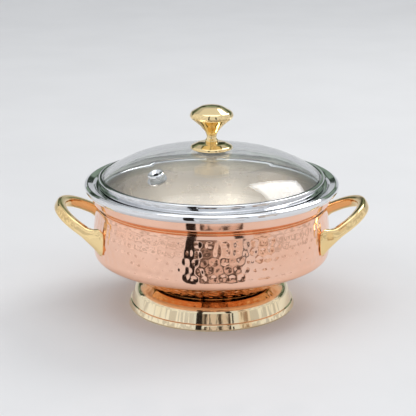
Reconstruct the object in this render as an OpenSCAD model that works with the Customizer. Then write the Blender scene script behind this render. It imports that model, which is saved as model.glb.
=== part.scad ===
// Footed serving kettle: a spun copper shell over a steel bowl, on a brass pedestal,
// with two cast loop handles and a domed glass lid. Millimetres, +Z up.
// The origin is the centre of the circle that the pedestal stands on.

/* [Bowl] */
// Outside diameter of the rolled steel rim
rim_d = 170; // [142:1:206]
// Height of the rim's crest above the table
rim_h = 87; // [78:1:106]
// Sheet thickness of the copper shell
shell_t = 1.0; // [0.6:0.1:1.2]
// Sheet thickness of the steel bowl
bowl_t = 0.8; // [0.5:0.1:1.2]
// How far the belly stays inside the rim's outer edge
belly_inset = 5.2; // [4:0.2:9]
// Radius of the belly's vertical curve
belly_arc_r = 110; // [90:5:200]
// Slope of the shell's underside
under_slope = 28.6; // [20:0.2:34]
// Height of the smooth collar between the rim and the groove
collar_h = 9.2; // [7:0.2:11]
// Width of the ledge and gutter that the lid sits in
ledge_w = 7.4; // [6:0.2:10]
// Depth of the ledge below the rim's crest
ledge_drop = 2.7; // [2:0.1:5]
// Air gap between the shell's underside and the bowl's floor
floor_gap = 5.8; // [5:0.2:10]

/* [Pedestal] */
// Diameter of the pedestal where it stands
foot_d = 113; // [94:1:124]
// Height of the pedestal
foot_h = 16.6; // [15:0.2:24]
// Wall of the pedestal casting
foot_t = 2.2; // [1.6:0.1:3]
// Height of the upright band round its edge
foot_band_h = 3.9; // [2.5:0.1:5]
// Diameter of the flat seat under the shell
seat_d = 77.6; // [66:0.2:84]
// Diameter of the centre bolt
foot_bolt_d = 5; // [4:0.5:6]

/* [Handles] */
// Distance from the belly to the outer end of a handle
handle_reach = 25.4; // [21:0.2:34]
// Distance between the two feet of a handle
handle_span = 67.2; // [52:0.4:82]
// How far in from the feet each side of a handle's round end stands
handle_inset = 5.1; // [3:0.1:10]
// Width of the bar, in the plane of the loop
bar_w = 6.4; // [5:0.2:8]
// Depth of the bar, across the plane of the loop
bar_h = 7.2; // [6:0.2:9]
// Upward tilt of the loop
handle_tilt = 30; // [15:1:35]
// Height of the handle's feet above the table
handle_z = 52.5; // [50:0.5:60]
// Height of the pad that each foot spreads into
pad_h = 19; // [15:0.5:22]
// Width of that pad
pad_w = 13; // [11:0.5:16]
// Thickness of that pad
pad_t = 2.6; // [2:0.1:4]
// Thread diameter of the screws that hold the handles
handle_screw_d = 3; // [2.5:0.5:4]

/* [Lid] */
// Thickness of the lid's glass
glass_t = 4; // [3:0.2:5]
// Radius of the dome's wide crown
crown_r = 222; // [180:2:300]
// Radius of the dome's shoulder
shoulder_r = 73; // [60:1:110]
// Width of the shoulder, inwards from the glass's visible edge
shoulder_w = 28.8; // [22:0.2:34]
// Sheet thickness of the lid's steel band
band_t = 0.6; // [0.4:0.1:1]
// Height of the band
band_h = 5.9; // [5:0.1:8]
// How far the band laps over the glass
band_lap = 2.7; // [2:0.1:4]

/* [Knob] */
// Diameter of the knob's head
knob_d = 28.8; // [20:0.2:36]
// Height of the knob above its skirt
knob_h = 25; // [20:0.5:32]
// Diameter of the stem at its waist
stem_d = 6.6; // [6:0.2:9]
// Diameter of the knob's skirt
skirt_d = 28.4; // [20:0.2:34]
// Thread diameter of the knob's screw
knob_screw_d = 4; // [3:0.5:4.5]
// Thickness of the soft washers on both sides of the glass
gasket_t = 0.8; // [0.5:0.1:1.5]

/* [Vent] */
// Distance of the steam vent from the lid's axis
vent_r = 54; // [48:0.5:58]
// Place of the steam vent around the lid
vent_angle = -131; // [-180:1:180]
// Inside diameter of the vent
vent_bore_d = 3.2; // [2:0.2:4]
// Diameter of the vent's upper flange
vent_flange_d = 11; // [9:0.2:13]

/* [Hidden] */
$fn = 96;

// Clearances that the fits share
slip = 0.3;          // between pieces of the lid and pieces of the bowl
seat_play = 0.1;     // between a washer's flat face and a curved wall
bolt_play = 0.25;    // round a bolt or screw in its hole
thread_play = 0.05;  // round a screw in its tapped hole

// Bowl and shell
rim_r = rim_d / 2;
belly_r = rim_r - belly_inset;
collar_r = rim_r - 4.6;                       // outside of the collar, under the hem
groove_r = rim_r - 9.5;                       // bottom of the groove below the collar
shell_top_z = rim_h - 0.85 - 0.27 * shell_t - 1.04 * bowl_t;   // copper's top edge, under the rolled rim
hem_z = rim_h - 5.5;                          // lower edge of the rolled rim
groove_z = hem_z - collar_h;
belly_top_z = groove_z - 1.4;
seat_r = seat_d / 2;
under_r = seat_r + 2.6;                       // where the flat seat turns into the underside
turn_r = 8.5;                                 // round between the belly and the underside
turn_z = foot_h + (belly_r - 0.6 - under_r) * tan(under_slope);
belly_z = (turn_z + belly_top_z) / 2 - 7.5;   // height of the belly's widest ring
ledge_z = rim_h - ledge_drop;
ledge_r = rim_r - 7.6;                        // outside of the ledge
bowl_r = ledge_r - ledge_w;                   // inside of the bowl just below the ledge
bowl_floor_z = foot_h + shell_t + floor_gap;
bowl_lean = 1.6;                              // how much narrower the bowl's wall is at its foot
bowl_floor_r = under_r + 5;

// Pedestal
foot_r = foot_d / 2;
foot_bolt_r = foot_bolt_d / 2;
foot_spread = foot_r - seat_r;
foot_washer_t = 1;
foot_nut_h = foot_bolt_d * 0.8;
foot_nut_z = foot_h - foot_t - foot_washer_t - foot_nut_h;

// Handles
bar_round = 2;
web_t = 4.4;                                  // thickness of the web that runs into each foot
wall_r = wall_radius(handle_z);
half_span = handle_span / 2;
root_x = sqrt(pow(wall_r, 2) - pow(half_span, 2));
handle_loop_r = half_span - handle_inset;     // of the bar's middle line, in the round end
loop_reach = (belly_r + handle_reach - bar_w / 2 - root_x) / cos(handle_tilt);
loop_centre = loop_reach - handle_loop_r;
root_dist = norm([loop_centre, half_span]);
leg_len = sqrt(pow(root_dist, 2) - pow(handle_loop_r, 2));
leg_turn = atan2(half_span, -loop_centre) - acos(handle_loop_r / root_dist);  // to where the leg joins
leg_in_plane = 90 - leg_turn;                 // angle between a leg and the loop's middle line
leg_in_plan = atan2(sin(leg_in_plane), cos(leg_in_plane) * cos(handle_tilt));
leg_rise = tan(handle_tilt) * cos(leg_in_plan);
foot_angle = asin(half_span / wall_r);
screw_lean = asin((handle_z - belly_z) / belly_arc_r);
handle_screw_r = handle_screw_d / 2;
handle_screw_depth = 3.8;
screw_shift = 2.4;                            // of each screw along the wall, into the thick of its leg
screw_angle = foot_angle - asin(screw_shift / wall_r);
handle_washer_r = handle_screw_d * 1.15;
handle_washer_t = 0.5;
handle_head_z = -shell_t - seat_play - handle_washer_t;   // underside of a screw's head, on the screw's axis

// Lid: heights are taken from the ledge upwards
band_r = ledge_r - 1.9;
band_z = ledge_z + slip;
band_top_z = band_z + band_h;
lap_r = band_r - band_lap;                    // upper inside edge of the band
dome_r = lap_r - seat_play;                   // where the glass's dome ends, just inside that edge
seal_t = 0.4;
glass_r = band_r - band_t - seal_t;
crown_half = dome_r - shoulder_w;
crown_angle = asin(crown_half / crown_r);
shoulder_x = crown_half - shoulder_r * sin(crown_angle);
edge_angle = asin((dome_r - shoulder_x) / shoulder_r);
shoulder_z = band_top_z - shoulder_r * cos(edge_angle) - 0.03;
crown_z = shoulder_z + shoulder_r * cos(crown_angle) - crown_r * cos(crown_angle);
apex_z = crown_z + crown_r;

// Knob stack, from the glass upwards
knob_bore_r = knob_screw_d / 2 + 1.4;         // hole in the glass, with the gasket's sleeve in it
skirt_r = skirt_d / 2;
skirt_z = apex_z + gasket_t;
skirt_h = 4.4;
knob_z = skirt_z + skirt_h;
knob_r = knob_d / 2;
stem_r = stem_d / 2;
collar_ring_r = stem_r + 0.9;                 // where the stem stands on the skirt
knob_screw_r = knob_screw_d / 2;
under_z = apex_z - glass_t;                   // underside of the glass at its middle
gasket_r = 9;
gasket_sag = crown_r - glass_t - sqrt(pow(crown_r - glass_t, 2) - pow(gasket_r, 2));
under_gasket_z = under_z - gasket_sag - gasket_t - 0.02;
cup_t = 1;
cup_r = 8;
cup_z = under_gasket_z - cup_t;               // underside of the steel washer
knob_screw_depth = 9;

// Vent, in a frame whose z axis is square to the glass
vent_bore_r = vent_bore_d / 2;
vent_barrel_r = vent_bore_r + 0.8;
vent_hole_r = vent_barrel_r + 0.6;
vent_flange_r = vent_flange_d / 2;
vent_lean = asin((vent_r - shoulder_x) / shoulder_r);
vent_seal_t = 0.6;
vent_washer_t = 0.8;
vent_sag = pow(vent_flange_r, 2) / (2 * shoulder_r) + seat_play;   // curve of the glass below a flat seal
vent_seal_z = -glass_t - vent_sag - vent_seal_t;
vent_washer_z = vent_seal_z - vent_washer_t;

function unit(v) = v / norm(v);

// Points on the round that replaces corner b of the path a, b, c
function corner_arc(a, b, c, r, steps = 8) =
    let (u = unit(a - b), w = unit(c - b), half = acos(u * w) / 2,
         centre = b + unit(u + w) * r / sin(half),
         from = b + u * r / tan(half) - centre, to = b + w * r / tan(half) - centre,
         start = atan2(from.y, from.x), turn = atan2(to.y, to.x) - start,
         sweep = turn > 180 ? turn - 360 : turn < -180 ? turn + 360 : turn)
    [for (i = [0 : steps]) centre + r * [cos(start + sweep * i / steps), sin(start + sweep * i / steps)]];

// A path of [point, corner radius] pairs with its corners rounded
function rounded(path) =
    [for (i = [0 : len(path) - 1])
        each (i == 0 || i == len(path) - 1 || path[i][1] == 0) ? [path[i][0]]
            : corner_arc(path[i - 1][0], path[i][0], path[i + 1][0], path[i][1])];

function arc(centre, r, from, to, steps = 16) =
    [for (i = [0 : steps]) let (a = from + (to - from) * i / steps) centre + r * [cos(a), sin(a)]];

function side(a, b) = let (t = unit(b - a)) [t.y, -t.x];

// The path moved sideways by d, to the right of its direction
function moved(path, d) =
    [for (i = [0 : len(path) - 1])
        let (before = side(path[max(i - 1, 0)], path[max(i, 1)]),
             after = side(path[min(i, len(path) - 2)], path[min(i + 1, len(path) - 1)]),
             middle = unit(before + after))
        path[i] + middle * d / (middle * before)];

function reversed(path) = [for (i = [len(path) - 1 : -1 : 0]) path[i]];

// Outline of a sheet of thickness t whose one face follows the path
function sheet(path, t) = concat(path, reversed(moved(path, t)));

// Radius of the shell's outside at height z on the belly
function wall_radius(z) = belly_r - belly_arc_r + sqrt(pow(belly_arc_r, 2) - pow(z - belly_z, 2));

function belly_arc(z_from, z_to) =
    arc([belly_r - belly_arc_r, belly_z], belly_arc_r,
        asin((z_from - belly_z) / belly_arc_r), asin((z_to - belly_z) / belly_arc_r));

// Outside of the shell, from its top edge down to the flat seat
function shell_outside() =
    let (belly = belly_arc(belly_top_z - 1.6, turn_z + turn_r / 2))
    concat(rounded([[[collar_r, shell_top_z], 0], [[collar_r - 0.5, groove_z + 3.6], 3],
                    [[groove_r, groove_z], 0.7], [[wall_radius(belly_top_z) - 0.2, belly_top_z + 0.4], 1.2],
                    [belly[0], 0]]),
           [for (i = [1 : len(belly) - 2]) belly[i]],
           rounded([[belly[len(belly) - 1], 0], [[belly_r - 0.6, turn_z], 0.45 * turn_r],
                    [[under_r, foot_h], 3], [[seat_r - 8, foot_h], 0]]));

// Inner and upper face of the steel bowl, from the hem to the axis
function bowl_face() =
    let (slope = tan(under_slope), knee_r = bowl_r - bowl_lean,
         knee_z = bowl_floor_z + (knee_r - bowl_floor_r) * slope)
    rounded([[[collar_r + 0.5, hem_z], 0], [[rim_r - 1.4, hem_z], 1], [[rim_r, hem_z + 2.1], 1.4],
             [[rim_r, rim_h - 1.2], 1.2], [[rim_r - 2, rim_h], 1.3], [[rim_r - 6, rim_h - 1.1], 1.2],
             [[ledge_r, ledge_z], 1.2], [[bowl_r, ledge_z], 1.5], [[knee_r, knee_z], 16],
             [[bowl_floor_r, bowl_floor_z], 14], [[0, bowl_floor_z], 0]]);

// Outside of the pedestal, from the table up and in to the bolt hole
function pedestal_outside() =
    rounded([[[foot_r - 0.4, 0], 0], [[foot_r, 0.9], 0.5], [[foot_r - 1.1, foot_band_h], 0.4],
             [[foot_r - 2, foot_band_h + 0.4], 0.3], [[foot_r - 4.9, foot_h - 3], foot_spread * 0.28],
             [[seat_r + 1.2, foot_h - 1], 0.6], [[seat_r, foot_h], 0],
             [[foot_bolt_r + bolt_play, foot_h], 0]]);

// Upper face of the glass, from the axis outwards, moved in by depth
function dome(depth = 0) =
    concat([for (p = arc([0, crown_z], crown_r - depth, 90, 90 - crown_angle)) [max(p.x, 0), p.y]],
           [for (i = [1 : 16]) let (a = 90 - crown_angle - (edge_angle - crown_angle) * i / 16)
               [shoulder_x, shoulder_z] + (shoulder_r - depth) * [cos(a), sin(a)]]);

module inner_bowl() {
    color("silver")
        rotate_extrude() polygon(sheet(bowl_face(), -bowl_t));
}

module outer_shell() {
    color("#d98e6c")
        difference() {
            union() {
                rotate_extrude() polygon(sheet(shell_outside(), shell_t));
                translate([0, 0, foot_h]) cylinder(r = seat_r - 7.5, h = shell_t);
            }
            translate([0, 0, foot_h - 1]) cylinder(r = foot_bolt_r + bolt_play, h = shell_t + 2);
            both_sides() feet() handle_screw_axis()
                translate([0, 0, -shell_t - 2]) cylinder(r = handle_screw_r + bolt_play, h = shell_t + 4);
        }
}

// The space that the shell and all inside it take up
module shell_solid() {
    rotate_extrude()
        polygon(concat(shell_outside(), [[0, foot_h], [0, shell_top_z]]));
}

module pedestal() {
    color("#d8b25c")
        rotate_extrude()
            polygon(concat(sheet(pedestal_outside(), -foot_t), [[foot_r - foot_t - 0.2, 0]]));
}

// A screw that points along +z from the underside of its head, at z = 0
module screw(r, length, head_r, head_h) {
    socket_r = r * 0.8;
    socket_depth = head_h * 0.55;
    difference() {
        union() {
            translate([0, 0, -head_h]) cylinder(r = head_r, h = head_h);
            translate([0, 0, -socket_depth / 2]) cylinder(r = r, h = length + socket_depth / 2);
        }
        translate([0, 0, -head_h - 1]) cylinder(r = socket_r, h = socket_depth + 1, $fn = 6);
    }
}

module washer(r, hole_r, h) {
    difference() {
        cylinder(r = r, h = h);
        translate([0, 0, -1]) cylinder(r = hole_r, h = h + 2);
    }
}

module pedestal_bolt() {
    past_nut = 3;
    color("gainsboro")
        translate([0, 0, foot_h + shell_t]) rotate([180, 0, 0])
            screw(foot_bolt_r, foot_h + shell_t - foot_nut_z + past_nut, foot_bolt_d, foot_bolt_d / 2);
}

module pedestal_washer() {
    color("silver")
        translate([0, 0, foot_h - foot_t - foot_washer_t])
            washer(foot_bolt_d * 1.3, foot_bolt_r + bolt_play, foot_washer_t);
}

module pedestal_nut() {
    color("silver")
        translate([0, 0, foot_nut_z])
            difference() {
                cylinder(r = foot_bolt_d * 0.92, h = foot_nut_h, $fn = 6);
                translate([0, 0, -1]) cylinder(r = foot_bolt_r + thread_play, h = foot_nut_h + 2);
            }
}

// Cross-section of the handle's bar: x is outwards in the loop, y across it
module bar_section() {
    reach = [bar_w / 2 - bar_round, bar_h / 2 - bar_round];
    square([bar_w, 2 * reach.y], center = true);
    square([2 * reach.x, bar_h], center = true);
    for (x = [-1, 1], y = [-1, 1])
        translate([x * reach.x, y * reach.y]) circle(bar_round);
}

// The frame of the loop: x runs outwards and up, y along the wall
module loop_plane() {
    translate([root_x, 0, handle_z]) rotate([0, -handle_tilt, 0]) children();
}

// The -Y half of the loop's round end, with the straight leg that it runs into
module half_loop() {
    loop_plane() translate([loop_centre, 0, 0]) rotate([0, 0, -leg_turn]) {
        rotate_extrude(angle = leg_turn) translate([handle_loop_r, 0]) bar_section();
        translate([handle_loop_r, 0, 0]) rotate([90, 0, 0]) linear_extrude(leg_len + 3) bar_section();
    }
}

// The web under and over each leg, which spreads it to the height of its pad
module foot_web() {
    run = 13;
    low = -pad_h / 2 + 1;
    high = pad_h / 2 - 1;
    joined = run * leg_rise;
    half_bar = bar_h / 2 / cos(atan(leg_rise)) - 0.5;
    side = [[[-6, low], 0], [[0.5, low], 3], [[run * 0.55, joined * 0.55 - half_bar], 14],
            [[run, joined - half_bar], 0], [[run, joined + half_bar], 0],
            [[run * 0.4, joined * 0.4 + half_bar + 0.6], 8], [[1, high], 2], [[-6, high], 0]];
    translate([root_x, half_span, handle_z]) rotate([0, 0, -leg_in_plan]) rotate([90, 0, 0])
        translate([0, 0, -web_t / 2])
            linear_extrude(web_t) polygon(rounded(side));
}

// The pad that lies on the wall round each foot
module foot_pad() {
    corner = 4;
    intersection() {
        rotate_extrude()
            polygon(concat(moved(belly_arc(handle_z + pad_h, handle_z - pad_h), -pad_t),
                           [[belly_r - 12, handle_z - pad_h], [belly_r - 12, handle_z + pad_h]]));
        rotate([0, 0, foot_angle]) translate([0, 0, handle_z]) rotate([0, 90, 0])
            linear_extrude(belly_r + 20) {
                square([pad_h, pad_w - 2 * corner], center = true);
                square([pad_h - 2 * corner, pad_w], center = true);
                for (x = [-1, 1], y = [-1, 1])
                    translate([x * (pad_h / 2 - corner), y * (pad_w / 2 - corner)]) circle(corner);
            }
    }
}

// Both feet of the handle on the +X side
module feet() {
    children();
    mirror([0, 1, 0]) children();
}

module both_sides() {
    children();
    rotate([0, 0, 180]) children();
}

// A frame on the shell's outside at one foot, with z pointing out of the wall
module handle_screw_axis() {
    rotate([0, 0, screw_angle]) translate([belly_r - belly_arc_r, 0, belly_z])
        rotate([0, 90 - screw_lean, 0]) translate([0, 0, belly_arc_r]) children();
}

module handle() {
    difference() {
        union() {
            feet() mirror([0, 1, 0]) half_loop();
            feet() foot_web();
            feet() foot_pad();
        }
        shell_solid();
        feet() handle_screw_axis()
            translate([0, 0, -2]) cylinder(r = handle_screw_r + thread_play, h = handle_screw_depth + 2.3);
    }
}

module handle_screws() {
    head_h = handle_screw_r * 1.2;
    feet() handle_screw_axis() translate([0, 0, handle_head_z])
        screw(handle_screw_r, handle_screw_depth - handle_head_z, handle_screw_d * 0.93, head_h);
}

module handle_washers() {
    feet() handle_screw_axis() translate([0, 0, handle_head_z])
        washer(handle_washer_r, handle_screw_r + bolt_play, handle_washer_t);
}

module handle_right() {
    color("#d8b25c") handle();
}

module handle_left() {
    color("#d8b25c") rotate([0, 0, 180]) handle();
}

module handle_screws_right() {
    color("gainsboro") handle_screws();
}

module handle_screws_left() {
    color("gainsboro") rotate([0, 0, 180]) handle_screws();
}

module handle_washers_right() {
    color("silver") handle_washers();
}

module handle_washers_left() {
    color("silver") rotate([0, 0, 180]) handle_washers();
}

// A frame on the glass's upper face at the vent, with z square to the glass
module vent_frame() {
    rotate([0, 0, vent_angle]) translate([shoulder_x, 0, shoulder_z])
        rotate([0, vent_lean, 0]) translate([0, 0, shoulder_r]) children();
}

module lid_glass() {
    edge_in = [shoulder_x, shoulder_z] + (shoulder_r - glass_t) * [sin(edge_angle), cos(edge_angle)];
    rim_top = band_top_z - band_t - seal_t;
    rim_low = band_z + band_t + seal_t;
    color("lightcyan", 0.4)
        difference() {
            rotate_extrude()
                polygon(concat(dome(),
                               [[dome_r, rim_top], [glass_r - 0.6, rim_top], [glass_r, rim_top - 0.6],
                                [glass_r, rim_low + 1], [glass_r - 1, rim_low], [glass_r - 2, rim_low],
                                edge_in - [0.4, 0.2]],
                               reversed(dome(glass_t))));
            translate([0, 0, under_z - 3]) cylinder(r = knob_bore_r, h = glass_t + 6);
            vent_frame() translate([0, 0, -glass_t - 3]) cylinder(r = vent_hole_r, h = glass_t + 6);
        }
}

// The band is a channel that opens inwards and grips the glass's edge
module lid_band() {
    lower_lap = band_r - 5;
    color("gainsboro")
        rotate_extrude()
            polygon(sheet(rounded([[[lap_r, band_top_z], 0], [[band_r, band_top_z], 1],
                                   [[band_r, band_z], 1], [[lower_lap, band_z], 0]]), band_t));
}

module lid_band_seal() {
    inside_r = band_r - band_t;
    color("whitesmoke")
        rotate_extrude()
            polygon(sheet(rounded([[[lap_r + 0.5, band_top_z - band_t], 0],
                                   [[inside_r, band_top_z - band_t], 0.5], [[inside_r, band_z + band_t], 0.5],
                                   [[band_r - 4.6, band_z + band_t], 0]]), seal_t));
}

// The eyelet's lower lip is rolled out under the washer
module vent_eyelet() {
    lip_h = 0.8;
    seat = vent_seal_t + seat_play;
    top = seat + 0.7;
    color("gainsboro")
        vent_frame()
            rotate_extrude()
                polygon(rounded([[[vent_bore_r, vent_washer_z - lip_h], 0],
                                 [[vent_barrel_r + 0.9, vent_washer_z - lip_h], 0],
                                 [[vent_barrel_r, vent_washer_z], 0], [[vent_barrel_r, seat], 0],
                                 [[vent_flange_r - 0.5, seat], 0], [[vent_flange_r, seat + 0.4], 0],
                                 [[vent_flange_r - 1, top + 0.7], 0.6],
                                 [[vent_bore_r + 1, top], 0.8], [[vent_bore_r, top - 0.6], 0]]));
}

module vent_seal(z) {
    color("whitesmoke")
        vent_frame() translate([0, 0, z])
            washer(vent_flange_r - 0.8, vent_barrel_r + bolt_play, vent_seal_t);
}

module vent_top_seal() {
    vent_seal(seat_play);
}

module vent_lower_seal() {
    vent_seal(vent_seal_z);
}

module vent_washer() {
    color("silver")
        vent_frame() translate([0, 0, vent_washer_z])
            washer(vent_flange_r + 0.7, vent_barrel_r + thread_play, vent_washer_t);
}

module knob() {
    edge_z = knob_z + knob_h * 0.72;              // the head's widest ring
    hole = knob_screw_depth + 0.5;
    color("#d8b25c")
        difference() {
            rotate_extrude()
                polygon(rounded([[[0, knob_z], 0], [[collar_ring_r, knob_z], 0.2],
                                 [[collar_ring_r + 0.2, knob_z + 1.3], 0.7], [[stem_r, knob_z + 2.6], 0.8],
                                 [[stem_r, knob_z + knob_h * 0.24], 7],
                                 [[knob_r * 0.555, knob_z + knob_h * 0.455], 10],
                                 [[knob_r - 0.6, edge_z - 1.7], 1.4], [[knob_r + 0.1, edge_z], 1.2],
                                 [[knob_r * 0.94, edge_z + 2.4], 3],
                                 [[knob_r * 0.45, knob_z + knob_h - 0.6], 9], [[0, knob_z + knob_h], 0]]));
            translate([0, 0, knob_z - 1]) cylinder(r = knob_screw_r + thread_play, h = hole + 1);
        }
}

module knob_skirt() {
    color("#d8b25c")
        difference() {
            rotate_extrude()
                polygon(rounded([[[0, skirt_z], 0], [[skirt_r - 0.8, skirt_z], 0],
                                 [[skirt_r, skirt_z + 0.5], 0.4], [[skirt_r - 0.4, skirt_z + 1.9], 1.8],
                                 [[skirt_r * 0.66, knob_z - 0.5], 4], [[collar_ring_r + 0.6, knob_z - 0.4], 0.2],
                                 [[collar_ring_r, knob_z], 0], [[0, knob_z], 0]]));
            translate([0, 0, skirt_z - 1]) cylinder(r = knob_screw_r + bolt_play, h = skirt_h + 2);
        }
}

// The upper gasket has a sleeve that lines the hole in the glass
module knob_top_gasket() {
    sleeve_r = knob_bore_r - seat_play;
    color("whitesmoke")
        difference() {
            union() {
                translate([0, 0, apex_z]) cylinder(r = gasket_r + 2, h = gasket_t);
                translate([0, 0, under_z + 0.5]) cylinder(r = sleeve_r, h = glass_t);
            }
            translate([0, 0, under_z - 1]) cylinder(r = knob_screw_r + bolt_play, h = glass_t + 4);
        }
}

module knob_under_gasket() {
    color("whitesmoke")
        translate([0, 0, under_gasket_z]) washer(gasket_r, knob_screw_r + bolt_play, gasket_t);
}

module knob_washer() {
    color("silver")
        translate([0, 0, cup_z]) washer(cup_r, knob_screw_r + slip, cup_t);
}

module knob_screw() {
    color("gainsboro")
        translate([0, 0, cup_z])
            screw(knob_screw_r, knob_z + knob_screw_depth - cup_z, knob_screw_d * 0.95, knob_screw_d * 0.6);
}

inner_bowl();
outer_shell();
pedestal();
pedestal_bolt();
pedestal_washer();
pedestal_nut();
handle_left();
handle_right();
handle_screws_left();
handle_screws_right();
handle_washers_left();
handle_washers_right();
lid_glass();
lid_band();
lid_band_seal();
vent_eyelet();
vent_top_seal();
vent_lower_seal();
vent_washer();
knob();
knob_skirt();
knob_top_gasket();
knob_under_gasket();
knob_washer();
knob_screw();
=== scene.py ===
"""Footed serving kettle with a glass lid: its finished look, on the fixed CAD frame.

Every class holds one sub-assembly. Sizes are in millimetres, and meshes are made in metres.
"""

import logging
import math
from dataclasses import dataclass, field
from enum import Enum
from typing import Sequence

import bpy
import numpy as np
from mathutils import Matrix, Vector


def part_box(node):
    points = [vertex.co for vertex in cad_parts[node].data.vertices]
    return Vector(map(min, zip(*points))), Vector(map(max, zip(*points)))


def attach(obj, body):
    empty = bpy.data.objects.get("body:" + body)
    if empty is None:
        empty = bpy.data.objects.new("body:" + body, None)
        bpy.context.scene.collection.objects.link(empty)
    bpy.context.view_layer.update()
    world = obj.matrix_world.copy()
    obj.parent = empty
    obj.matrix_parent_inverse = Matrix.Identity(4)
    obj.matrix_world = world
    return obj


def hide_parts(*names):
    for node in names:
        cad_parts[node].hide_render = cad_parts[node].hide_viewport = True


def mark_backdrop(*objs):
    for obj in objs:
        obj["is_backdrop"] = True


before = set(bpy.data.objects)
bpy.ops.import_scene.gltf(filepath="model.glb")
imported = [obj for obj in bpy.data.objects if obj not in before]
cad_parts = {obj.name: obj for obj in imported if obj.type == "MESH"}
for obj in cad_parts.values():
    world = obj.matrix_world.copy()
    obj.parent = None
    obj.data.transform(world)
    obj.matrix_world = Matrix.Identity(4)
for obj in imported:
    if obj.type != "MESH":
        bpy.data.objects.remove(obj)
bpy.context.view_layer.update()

MM = 0.001
TURN = 2 * math.pi
Corner = tuple[float, float, float]
Colour = tuple[float, float, float]
log = logging.getLogger("kettle")


class Side(Enum):
    """The side of the bowl that a handle is on."""

    LEFT = -1
    RIGHT = 1


class Body(Enum):
    """The moving bodies of the frame that pieces ride on."""

    KETTLE = "kettle"
    LID = "lid"


class Marks(Enum):
    """How a metal's polishing marks run."""

    SPUN = "round the axis"
    CAST = "in no one direction"


# Profiles and meshes


def fillet(corners: Sequence[Corner], step: float = 7.5) -> np.ndarray:
    """Rounds the corners of a path.

    Args:
        corners: x, z and the corner's radius, in order along the path.
        step: the most degrees between two points of a round.

    Returns:
        The path's points, one in each row.
    """
    points: list[np.ndarray] = []
    spots = [np.array(c[:2], float) for c in corners]
    for i, (*_, radius) in enumerate(corners):
        if radius == 0 or i in (0, len(corners) - 1):
            points.append(spots[i])
            continue
        back = (spots[i - 1] - spots[i]) / np.linalg.norm(spots[i - 1] - spots[i])
        on = (spots[i + 1] - spots[i]) / np.linalg.norm(spots[i + 1] - spots[i])
        half = math.acos(float(np.clip(back @ on, -1, 1))) / 2
        middle = (back + on) / np.linalg.norm(back + on)
        centre = spots[i] + middle * radius / math.sin(half)
        first = spots[i] + back * radius / math.tan(half) - centre
        last = spots[i] + on * radius / math.tan(half) - centre
        start = math.atan2(first[1], first[0])
        sweep = math.atan2(last[1], last[0]) - start
        sweep = (sweep + math.pi) % TURN - math.pi
        count = max(2, math.ceil(abs(math.degrees(sweep)) / step))
        for k in range(count + 1):
            angle = start + sweep * k / count
            points.append(centre + radius * np.array([math.cos(angle), math.sin(angle)]))
    return np.array(points)


def arc(centre: tuple[float, float], radius: float, start: float, end: float, count: int) -> np.ndarray:
    """Points on an arc.

    Args:
        centre: the arc's centre.
        radius: its radius.
        start: the angle of its first point, in radians.
        end: the angle of its last point.
        count: how many points.

    Returns:
        The points, one in each row.
    """
    angles = np.linspace(start, end, count)
    return np.array(centre) + radius * np.stack([np.cos(angles), np.sin(angles)], 1)


def beside(path: np.ndarray, distance: float) -> np.ndarray:
    """Moves a path sideways, to the right of its direction.

    Args:
        path: the path's points.
        distance: how far.

    Returns:
        As many points, each moved square to the path.
    """
    run = np.diff(path, axis=0)
    run /= np.linalg.norm(run, axis=1)[:, None]
    sides = np.stack([run[:, 1], -run[:, 0]], 1)
    before = np.vstack([sides[:1], sides])
    after = np.vstack([sides, sides[-1:]])
    middle = before + after
    middle /= np.linalg.norm(middle, axis=1)[:, None]
    return path + middle * (distance / np.sum(middle * before, 1))[:, None]


def wall(path: np.ndarray, thickness: float) -> np.ndarray:
    """The closed outline of a sheet whose one face follows a path.

    Args:
        path: the face's points.
        thickness: the sheet's thickness, to the right of the path.

    Returns:
        The outline's points.
    """
    return np.vstack([path, beside(path, thickness)[::-1]])


def skin(name: str, grid: np.ndarray, loop: bool, crease: float = 40.0) -> bpy.types.Object:
    """Makes a closed mesh over a grid of points in millimetres whose columns go all the way round.

    Args:
        name: the piece's name.
        grid: the points, as rows, columns and x, y, z.
        loop: whether the last row meets the first. If not, each of the two is drawn to a point.
        crease: the angle above which an edge stays sharp, in degrees.

    Returns:
        The new piece.
    """
    columns = grid.shape[1]
    here = np.arange(columns)
    there = np.roll(here, -1)
    body = grid if loop else grid[1:-1]
    points = body.reshape(-1, 3)
    count = len(body)
    faces: list[list[int]] = []
    for i in range(count if loop else count - 1):
        a, b = i * columns, (i + 1) % count * columns
        faces += np.stack([a + here, a + there, b + there, b + here], 1).tolist()
    if not loop:
        first, last = len(points), len(points) + 1
        points = np.vstack([points, grid[0].mean(0), grid[-1].mean(0)])
        end = (count - 1) * columns
        faces += np.stack([there, here, np.full(columns, first)], 1).tolist()
        faces += np.stack([end + here, end + there, np.full(columns, last)], 1).tolist()
    mesh = bpy.data.meshes.new(name)
    mesh.from_pydata((points * MM).tolist(), [], faces)
    mesh.update()
    piece = bpy.data.objects.new(name, mesh)
    bpy.context.scene.collection.objects.link(piece)
    tidy(piece, crease)
    return piece


def tidy(piece: bpy.types.Object, crease: float) -> None:
    """Turns a mesh's faces outwards and shades it smooth between its sharp edges.

    Args:
        piece: the piece.
        crease: the angle above which an edge stays sharp, in degrees.
    """
    mesh = piece.data
    mesh.calc_loop_triangles()
    co = np.empty(len(mesh.vertices) * 3)
    mesh.vertices.foreach_get("co", co)
    co = co.reshape(-1, 3)
    corners = np.empty(len(mesh.loop_triangles) * 3, np.int32)
    mesh.loop_triangles.foreach_get("vertices", corners)
    a, b, c = co[corners.reshape(-1, 3)].transpose(1, 0, 2)
    if np.sum(a * np.cross(b, c)) < 0:
        mesh.flip_normals()
    mesh.shade_smooth()
    mesh.set_sharp_from_angle(angle=math.radians(crease))


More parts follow.
